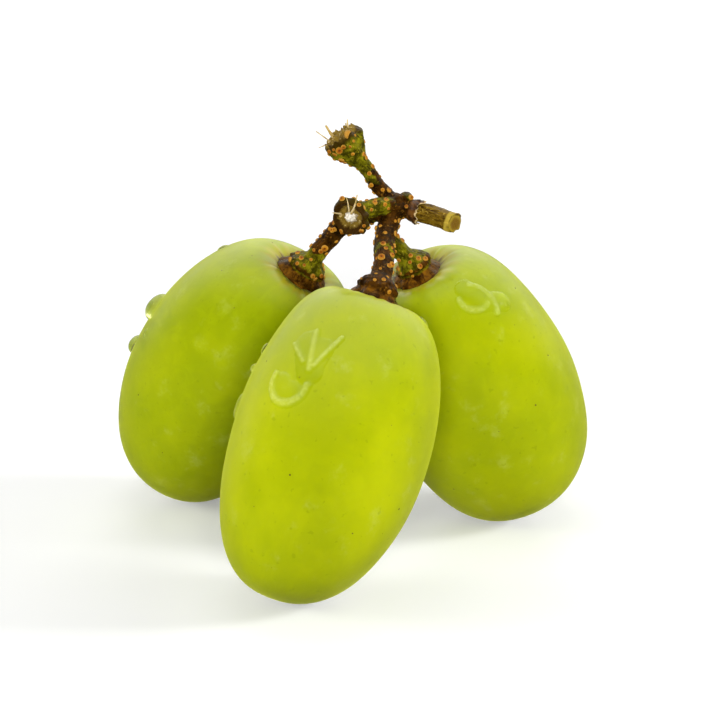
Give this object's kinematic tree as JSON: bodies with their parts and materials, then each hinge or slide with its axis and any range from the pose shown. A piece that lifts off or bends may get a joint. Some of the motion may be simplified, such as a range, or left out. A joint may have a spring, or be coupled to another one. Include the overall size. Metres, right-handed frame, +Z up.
{
  "type": "bunch of grapes",
  "caption": "Small bunch of long, plump green grapes on a short woody stem with picked stalks, standing on its berries as fresh fruit or table dressing.",
  "frame": {"origin": "on the surface the bunch stands on, under the middle of its outer box", "axes": "+Z up through the stem, +X the way the cut end of the stem points and the wider side of the bunch, -Y the side of the front grape"},
  "size_m": [0.0432, 0.0396, 0.0383],
  "materials": {
    "grape_skin": "taut translucent yellow-green grape skin with a soft satin bloom",
    "stem_bark": "rough green and brown stalk bark with corky orange lenticels",
    "water": "clear drops and a thin film of rinse water on the skin"
  },
  "bodies": {
    "root": {"grape_front": "grape_skin", "grape_left": "grape_skin", "grape_right": "grape_skin", "stem": "stem_bark"}
  },
  "joints": []
}
